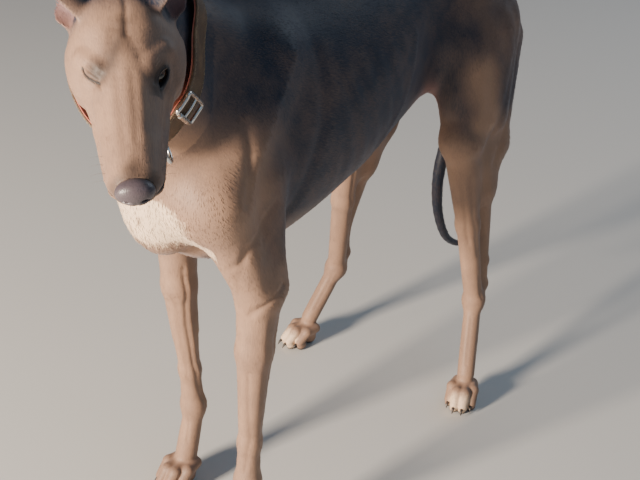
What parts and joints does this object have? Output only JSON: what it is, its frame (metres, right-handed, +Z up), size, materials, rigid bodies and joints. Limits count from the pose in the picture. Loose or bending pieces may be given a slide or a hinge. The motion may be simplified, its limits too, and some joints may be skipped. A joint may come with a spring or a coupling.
{
  "type": "dog, greyhound",
  "caption": "Lean, deep-chested hound standing still, head turned and lowered to its left, tail hanging behind, broad leather collar on its neck.",
  "frame": {"origin": "on the floor, below the middle of the box round the whole dog", "axes": "+Z up, the body faces -Y, the dog's own left side is +X"},
  "size_m": [0.3976, 1.0032, 0.8019],
  "materials": {
    "coat": "short, sleek, flat-lying fur, blue-grey with a warm brown cast",
    "nose": "moist, finely pebbled skin",
    "eye": "wet, dark brown iris",
    "strap": "worn tan-brown leather with a darker red lining",
    "buckle": "bright nickel-plated wire"
  },
  "bodies": {
    "root": {"head": "coat", "nose": "nose", "eye_left": "eye", "eye_right": "eye", "ear_left": "coat", "ear_right": "coat", "neck": "coat", "chest": "coat", "loin": "coat", "croup": "coat", "tail": "coat", "upper_arm_left": "coat", "upper_arm_right": "coat", "forearm_left": "coat", "forearm_right": "coat", "forepaw_left": "coat", "forepaw_right": "coat", "thigh_left": "coat", "thigh_right": "coat", "lower_thigh_left": "coat", "lower_thigh_right": "coat", "hock_left": "coat", "hock_right": "coat", "hindpaw_left": "coat", "hindpaw_right": "coat", "collar": "strap", "collar_buckle": "buckle", "collar_ring": "buckle"}
  },
  "joints": []
}
